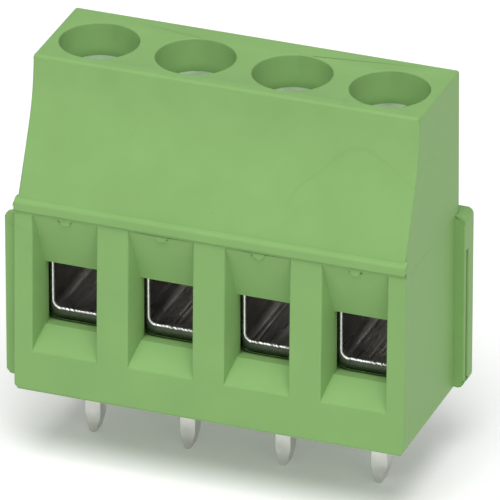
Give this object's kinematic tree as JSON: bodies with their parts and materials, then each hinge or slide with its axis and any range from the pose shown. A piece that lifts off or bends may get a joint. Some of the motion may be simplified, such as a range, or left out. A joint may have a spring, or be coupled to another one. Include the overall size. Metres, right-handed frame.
{
  "type": "pcb screw terminal",
  "caption": "Board-mounted screw terminal row: green moulded housing with funnel wire entries, captive slotted screws, lifting clamp sleeves and folded contacts with solder pins.",
  "frame": {"origin": "on the board surface under the housing, at the middle of the row of solder pins", "axes": "+X along the row of poles, -Y towards the side where the wires enter, +Z away from the board"},
  "size_m": [0.0217, 0.0091, 0.0213],
  "materials": {
    "housing": "fine satin moulded polyamide",
    "screw": "zinc plated, bright",
    "sleeve": "folded plated steel with bright sheared edges",
    "contact": "tin-plated copper alloy, satin"
  },
  "bodies": {
    "housing": {"housing": "housing", "contact_1": "contact", "contact_2": "contact", "contact_3": "contact", "contact_4": "contact"},
    "screw_1": {"screw_1": "screw"},
    "screw_2": {"screw_2": "screw"},
    "screw_3": {"screw_3": "screw"},
    "screw_4": {"screw_4": "screw"},
    "sleeve_1": {"sleeve_1": "sleeve"},
    "sleeve_2": {"sleeve_2": "sleeve"},
    "sleeve_3": {"sleeve_3": "sleeve"},
    "sleeve_4": {"sleeve_4": "sleeve"}
  },
  "joints": [
    {"name": "screw_turn_1", "type": "hinge", "parent": "housing", "child": "screw_1", "pos_m": [-0.00762, 0.0009, 0.014], "axis": [0, 0, 1], "range_deg": [-2320, 0]},
    {"name": "sleeve_lift_1", "type": "slide", "parent": "housing", "child": "sleeve_1", "axis": [0, 0, 1], "range_m": [0, 0.0029]},
    {"name": "screw_turn_2", "type": "hinge", "parent": "housing", "child": "screw_2", "pos_m": [-0.00254, 0.0009, 0.014], "axis": [0, 0, 1], "range_deg": [-2320, 0]},
    {"name": "sleeve_lift_2", "type": "slide", "parent": "housing", "child": "sleeve_2", "axis": [0, 0, 1], "range_m": [0, 0.0029]},
    {"name": "screw_turn_3", "type": "hinge", "parent": "housing", "child": "screw_3", "pos_m": [0.00254, 0.0009, 0.014], "axis": [0, 0, 1], "range_deg": [-2320, 0]},
    {"name": "sleeve_lift_3", "type": "slide", "parent": "housing", "child": "sleeve_3", "axis": [0, 0, 1], "range_m": [0, 0.0029]},
    {"name": "screw_turn_4", "type": "hinge", "parent": "housing", "child": "screw_4", "pos_m": [0.00762, 0.0009, 0.014], "axis": [0, 0, 1], "range_deg": [-2320, 0]},
    {"name": "sleeve_lift_4", "type": "slide", "parent": "housing", "child": "sleeve_4", "axis": [0, 0, 1], "range_m": [0, 0.0029]}
  ],
  "couplings": [
    {"joint": "screw_turn_1", "follows": "sleeve_lift_1", "rad_per_m": -13963},
    {"joint": "screw_turn_2", "follows": "sleeve_lift_2", "rad_per_m": -13963},
    {"joint": "screw_turn_3", "follows": "sleeve_lift_3", "rad_per_m": -13963},
    {"joint": "screw_turn_4", "follows": "sleeve_lift_4", "rad_per_m": -13963}
  ]
}
